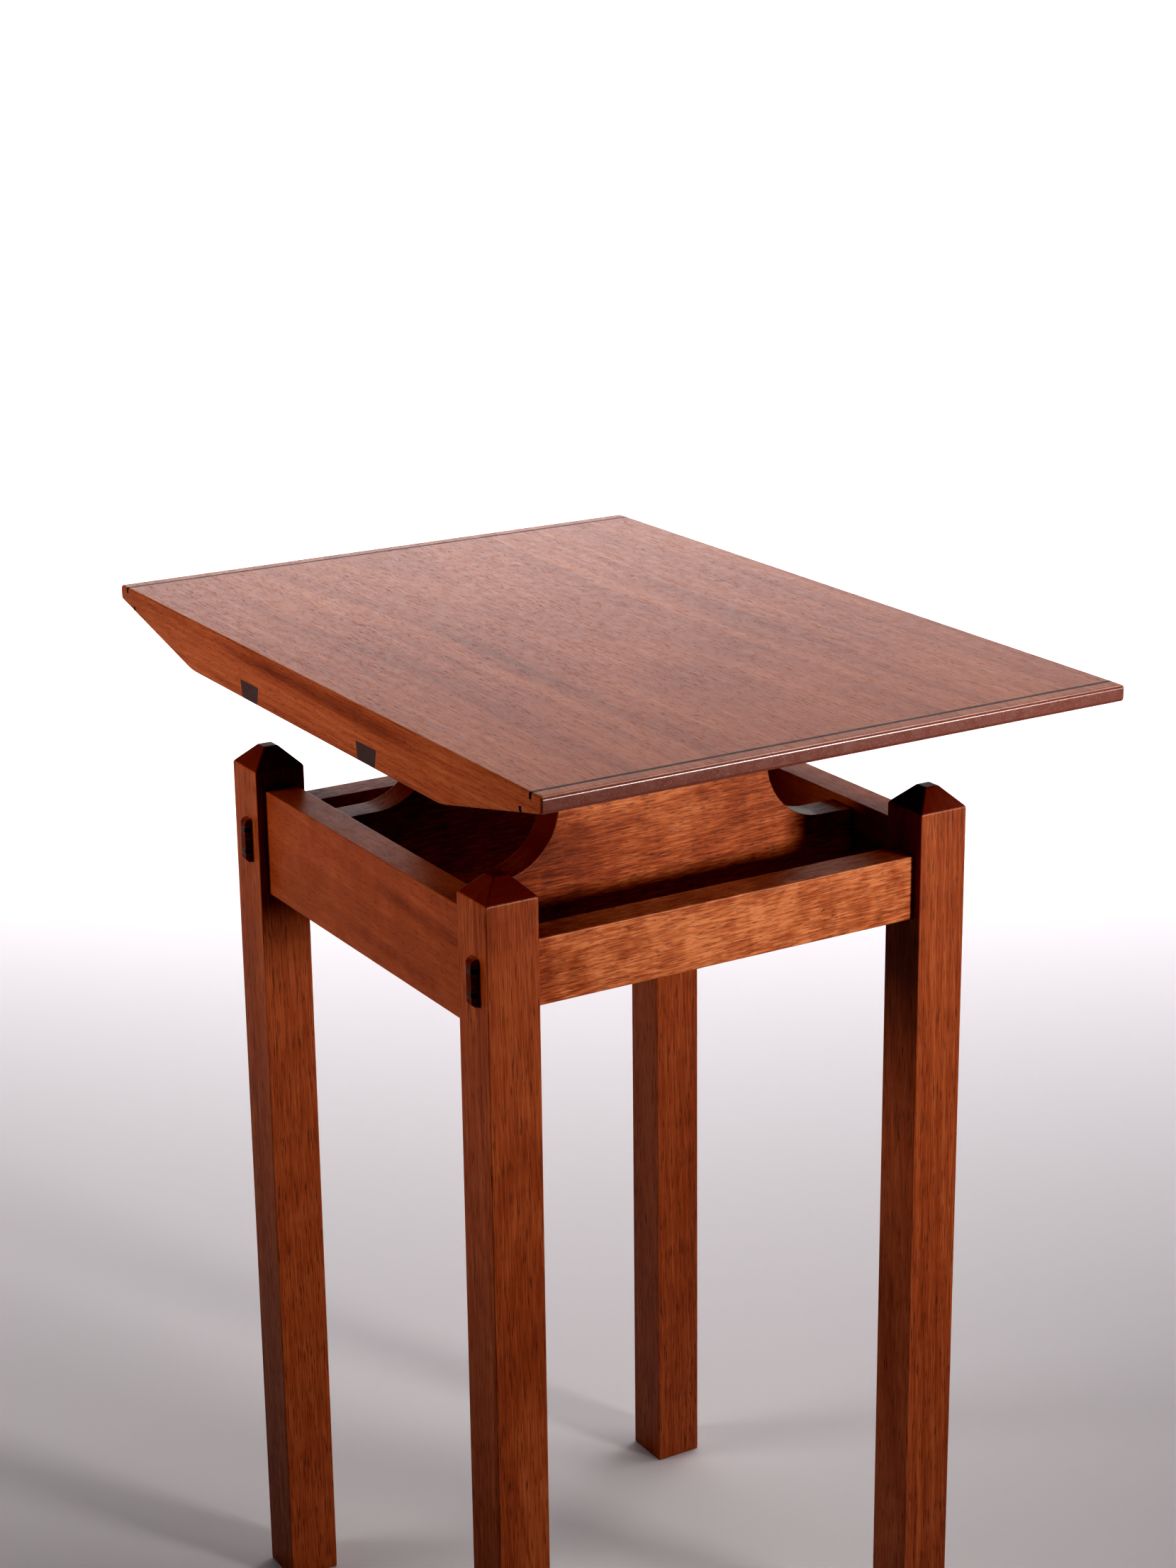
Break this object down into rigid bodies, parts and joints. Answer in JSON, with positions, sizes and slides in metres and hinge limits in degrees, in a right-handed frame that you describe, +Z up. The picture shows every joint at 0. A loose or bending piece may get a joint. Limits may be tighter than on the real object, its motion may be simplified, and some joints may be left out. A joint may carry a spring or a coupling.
{
  "type": "photo album stand",
  "caption": "Wooden album stand: a thick bevelled top on arched boards over a square-legged frame, with dark inlays, dovetail battens and wedged through tenons.",
  "frame": {"origin": "centre of the footprint, on the floor", "axes": "+Z up, the front of the stand faces -Y, its left side faces -X"},
  "size_m": [0.431, 0.613, 0.762],
  "materials": {
    "mahogany_top": "satin lacquer over open-pored mahogany",
    "mahogany_frame": "satin lacquer over open-pored mahogany",
    "mahogany_leg": "satin lacquer over open-pored mahogany",
    "wenge": "satin lacquer over fine dark grain",
    "ebony": "satin lacquer, nearly black",
    "beech": "plain, unfinished"
  },
  "bodies": {
    "root": {"top_slab": "mahogany_top", "front_arched_board": "mahogany_frame", "back_arched_board": "mahogany_frame", "left_side_rail": "mahogany_frame", "right_side_rail": "mahogany_frame", "front_rail": "mahogany_frame", "back_rail": "mahogany_frame", "front_left_leg": "mahogany_leg", "front_right_leg": "mahogany_leg", "back_left_leg": "mahogany_leg", "back_right_leg": "mahogany_leg", "front_batten": "wenge", "back_batten": "wenge", "front_left_upper_wedge": "wenge", "front_left_lower_wedge": "wenge", "front_right_upper_wedge": "wenge", "front_right_lower_wedge": "wenge", "back_left_upper_wedge": "wenge", "back_left_lower_wedge": "wenge", "back_right_upper_wedge": "wenge", "back_right_lower_wedge": "wenge", "front_upper_string": "ebony", "front_lower_string": "ebony", "back_upper_string": "ebony", "back_lower_string": "ebony", "front_dowel_1": "beech", "front_dowel_2": "beech", "front_dowel_3": "beech", "back_dowel_1": "beech", "back_dowel_2": "beech", "back_dowel_3": "beech"}
  },
  "joints": []
}
